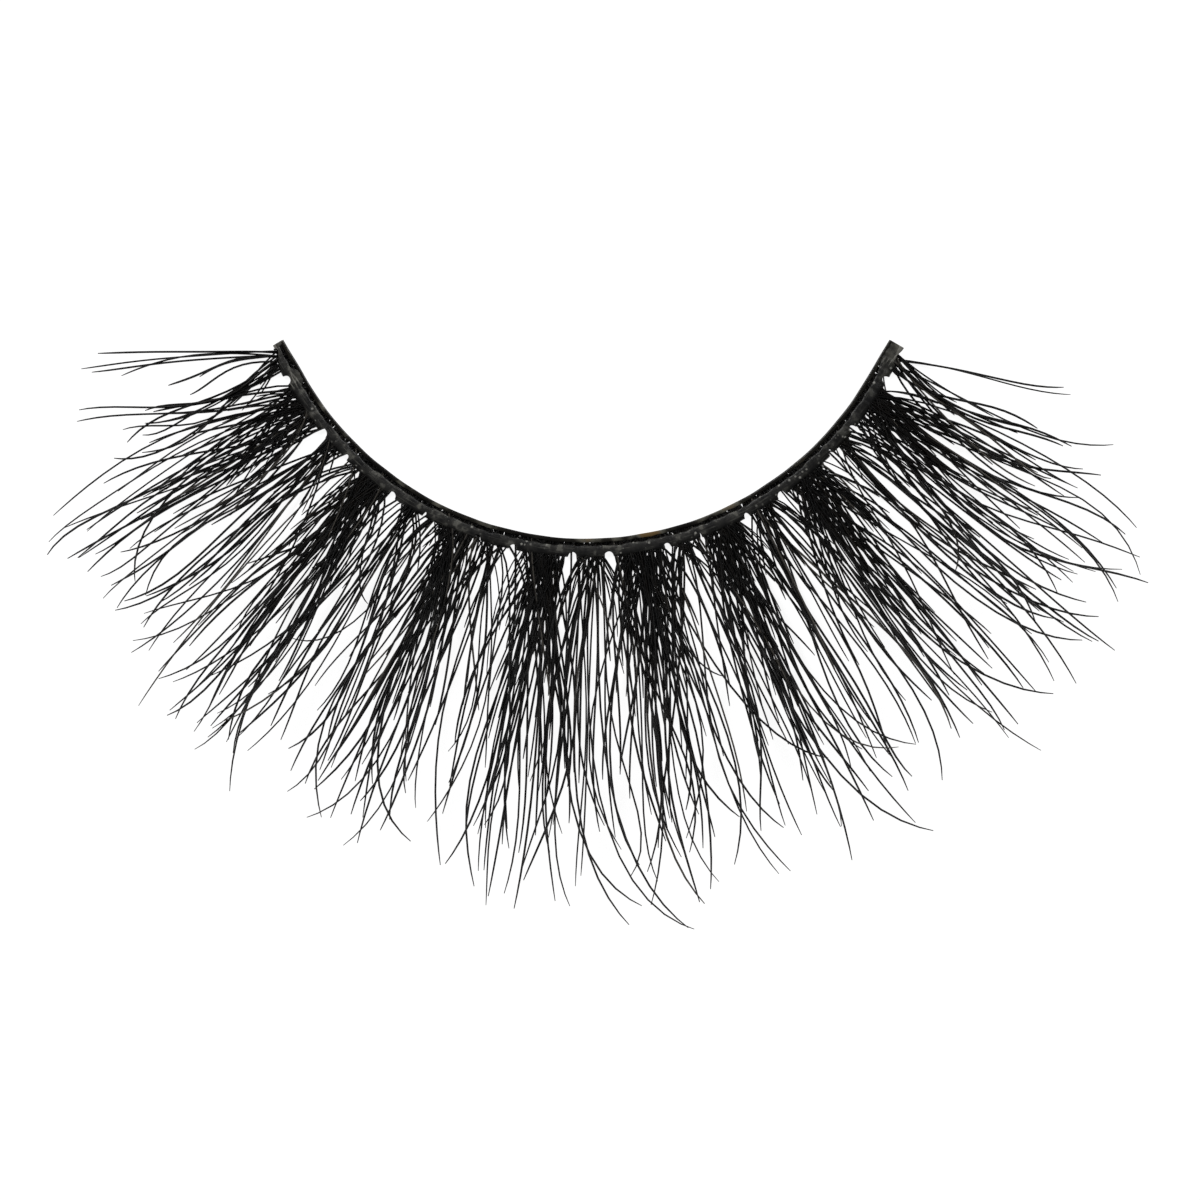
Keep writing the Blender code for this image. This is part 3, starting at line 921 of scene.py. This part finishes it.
# Each size is that of one grain of its pattern
CLOUD = 0.45 * MM
STREAK_LENGTH = 0.8 * MM
STREAK_WIDTH = 0.07 * MM
# Scratches along the band, with their highlight painted on as pale lines
SCRATCH_HIGHLIGHT_LENGTH = 1.2 * MM
SCRATCH_HIGHLIGHT_WIDTH = 0.13 * MM
SPECK = 0.26 * MM
SPECK_PATCH = 1.4 * MM
SKIN_GRAIN = 0.05 * MM
GRAIN_HEIGHT = 0.02 * MM
COVERED = (7.5 * MM, 10.5 * MM)  # along the band, where the glue gets thicker
WEB_FROM = GLUE_ARCH - BAND_WIDTH / 2  # across it, where the glue thins out over the hairs
WEB_RUN = 0.2 * MM
RANGE_SOCKETS = ("From Min", "From Max", "To Min", "To Max")
GLUE_LAYERS = (  # over the skin, from the lowest up
    ("streak", "#74736d"),
    ("thick", "#1b1b1b"),
    ("thin", "#7d7b72"),
    # scratches with a painted highlight, pale
    ("scratch_highlight", "#b5b3aa"),
    ("web", "#131212"),
    ("speck", "#c4c3bb"),
)


def glue_noises(tree, place):
    """The cloud, patch and grain noises, each with a grain of its own real size."""
    noises = []
    for size, detail in ((CLOUD, 4.0), (SPECK_PATCH, 1.0), (SKIN_GRAIN, 2.0)):
        settings = {"Scale": 1 / size, "Detail": detail}
        made = add_node(tree, "ShaderNodeTexNoise", settings, {"Vector": place})
        noises.append(made.outputs["Fac"])
    return noises


def layer_amounts(tree, place, cloud, patch):
    """How much of each layer shows at a point.

    A pattern is stretched from its first two numbers to its last two. The thin, scratch highlight
    and speck layers are a product of two patterns.
    """
    read = {}
    for name in ("along_band", "across_band", "pale"):
        read[name] = add_node(tree, "ShaderNodeAttribute", attribute_name=name).outputs["Fac"]
    cells = add_node(tree, "ShaderNodeTexVoronoi", {"Scale": 1 / SPECK}, {"Vector": place})
    patterns = {
        "streak": (band_pattern(tree, STREAK_LENGTH, STREAK_WIDTH), 0.55, 0.70, 0.0, 0.75),
        "thick": (read["along_band"], *COVERED, 0.0, 0.55),
        "clear": (cloud, 0.42, 0.58, 0.25, 1.0),
        # lines of the scratches whose highlight is painted
        "line": (band_pattern(tree, SCRATCH_HIGHLIGHT_LENGTH, SCRATCH_HIGHLIGHT_WIDTH), 0.54, 0.60, 0.0, 1.0),
        "marked": (read["pale"], 0.02, 0.3, 0.0, 1.0),
        "web": (read["across_band"], WEB_FROM, WEB_FROM + WEB_RUN, 0.0, 0.85),
        "dot": (cells.outputs["Distance"], 0.27, 0.13, 0.0, 1.0),
        "dusty": (patch, 0.46, 0.55, 0.0, 1.0),
    }
    amounts = {"pale": read["pale"]}
    for name, (pattern, *limits) in patterns.items():
        settings = dict(zip(RANGE_SOCKETS, limits))
        made = add_node(tree, "ShaderNodeMapRange", settings, {"Value": pattern})
        amounts[name] = made.outputs["Result"]
    products = {"thin": ("pale", "clear"), "scratch_highlight": ("line", "marked"), "speck": ("dot", "dusty")}
    for name, (one, other) in products.items():
        factors = {0: amounts[one], 1: amounts[other]}
        made = add_node(tree, "ShaderNodeMath", links=factors, operation="MULTIPLY")
        amounts[name] = made.outputs[0]
    return amounts


def glue_finish():
    """The skin, the layers over it by their amounts, and a fine grain as bump."""
    material, tree, shader = new_material("dried latex glue")
    place = add_node(tree, "ShaderNodeTexCoord").outputs["Object"]
    cloud, patch, grain = glue_noises(tree, place)
    amounts = layer_amounts(tree, place, cloud, patch)
    skin = add_node(tree, "ShaderNodeValToRGB", links={"Fac": cloud}, stops=GLUE_SKIN)
    colour = skin.outputs["Color"]
    for name, hex_colour in GLUE_LAYERS:
        links = {"Factor": amounts[name], "A": colour}
        laid = add_node(tree, "ShaderNodeMix", {"B": linear(hex_colour)}, links, data_type="RGBA")
        colour = laid.outputs["Result"]
    settings = {"Strength": 0.5, "Distance": GRAIN_HEIGHT}
    bump = add_node(tree, "ShaderNodeBump", settings, {"Height": grain})
    tree.links.new(colour, shader.inputs["Base Color"])
    tree.links.new(bump.outputs["Normal"], shader.inputs["Normal"])
    shader.inputs["Roughness"].default_value = 0.36
    shader.inputs["IOR"].default_value = 1.5
    return material


dried_glue.data.materials.append(glue_finish())
print("dried latex glue,", len(dried_glue.data.materials[0].node_tree.nodes), "nodes")

# %% [markdown]
# The thread is drawn nylon, smooth and half clear. Over black roots it reads as a grey and
# olive line, brown in places where light comes through it and black where glue has crept over.
# These patches follow each other along the band, so their pattern reads that length. On the
# right a dark film of glue lies over the thread.

# %% Drawn nylon
NYLON_STOPS = ((0.42, "#14120f"), (0.52, "#2e2c26"), (0.59, "#7b796e"), (0.68, "#8a7048"))
PATCH_LENGTH = 1.9 * MM
PATCH_WIDTH = 2.0 * MM
FILM = "#26241f"
FILM_SHARE = 0.8


def nylon():
    """Patches along the band, and the dark film of glue over them on the right."""
    material, tree, shader = new_material("drawn nylon")
    patches = band_pattern(tree, PATCH_LENGTH, PATCH_WIDTH)
    clear = add_node(tree, "ShaderNodeValToRGB", links={"Fac": patches}, stops=NYLON_STOPS)
    along = add_node(tree, "ShaderNodeAttribute", attribute_name="along_band")
    limits = dict(zip(RANGE_SOCKETS, (*COVERED, 0.0, FILM_SHARE)))
    film = add_node(tree, "ShaderNodeMapRange", limits, {"Value": along.outputs["Fac"]})
    links = {"Factor": film.outputs["Result"], "A": clear.outputs["Color"]}
    covered = add_node(tree, "ShaderNodeMix", {"B": linear(FILM)}, links, data_type="RGBA")
    tree.links.new(covered.outputs["Result"], shader.inputs["Base Color"])
    shader.inputs["Roughness"].default_value = 0.28
    shader.inputs["IOR"].default_value = 1.53
    return material


nylon_thread.data.materials.append(nylon())
print("drawn nylon,", len(nylon_thread.data.materials[0].node_tree.nodes), "nodes")

# %% [markdown]
# The photograph has a bare white ground and no shadow, as on a lit table. The floor here is
# white and glows a little, and the light is a pale sky with one wide soft lamp on each side,
# set low enough that the hairs' flanks catch them and their backs stay black.

# %% Floor, lamps and sky
FLOOR_SIZE = 0.6
FLOOR_DROP = 0.02 * MM
LAMP_SIZE = 0.22

corners = FLOOR_SIZE / 2 * np.array([[-1, -1], [1, -1], [1, 1], [-1, 1]])
floor_points = np.hstack([corners, np.full((4, 1), -FLOOR_DROP)])
floor = quad_object("floor", floor_points, np.array([[0, 1, 2, 3]]))
white, _, white_shader = new_material("white table")
white_shader.inputs["Base Color"].default_value = linear("#bcbcbc")
white_shader.inputs["Roughness"].default_value = 0.8
white_shader.inputs["Emission Color"].default_value = linear("#ffffff")
white_shader.inputs["Emission Strength"].default_value = 0.90
floor.data.materials.append(white)

sky = bpy.data.worlds.new("sky")
sky.use_nodes = True
background = sky.node_tree.nodes["Background"]
background.inputs["Color"].default_value = linear("#ffffff")
background.inputs["Strength"].default_value = 0.06
bpy.context.scene.world = sky

LAMPS = (
    ("left lamp", (-0.34, 0.36, 0.52), 1.2),
    ("right lamp", (0.40, 0.28, 0.50), 0.9),
)
for lamp_name, lamp_place, watts in LAMPS:
    lamp_data = bpy.data.lights.new(lamp_name, "AREA")
    lamp_data.shape = "SQUARE"
    lamp_data.size = LAMP_SIZE
    lamp_data.energy = watts
    lamp = bpy.data.objects.new(lamp_name, lamp_data)
    lamp.location = lamp_place
    away = np.array(lamp_place)
    flat = math.hypot(away[0], away[1])
    lamp.rotation_euler = (0.0, math.atan2(flat, away[2]), math.atan2(away[1], away[0]))
    bpy.context.scene.collection.objects.link(lamp)
bpy.context.scene.view_settings.view_transform = "Standard"
print(len(LAMPS), "lamps of", sum(watts for _, _, watts in LAMPS), "W together")

# %% [markdown]
# Last, every piece is tied to the model. All of it is one body, because nothing on a strip
# turns or slides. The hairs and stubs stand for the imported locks, and the glue and the thread
# for their plain solids.

# %% Tie the pieces to the model and finish
for piece in (lash_hairs, lash_wisps, lash_strays, root_stubs):
    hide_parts("lash_fringe")
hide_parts("glue_strip")
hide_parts("seal_thread")
for piece in (lash_hairs, lash_wisps, lash_strays, root_stubs, dried_glue, nylon_thread):
    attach(piece, "root")
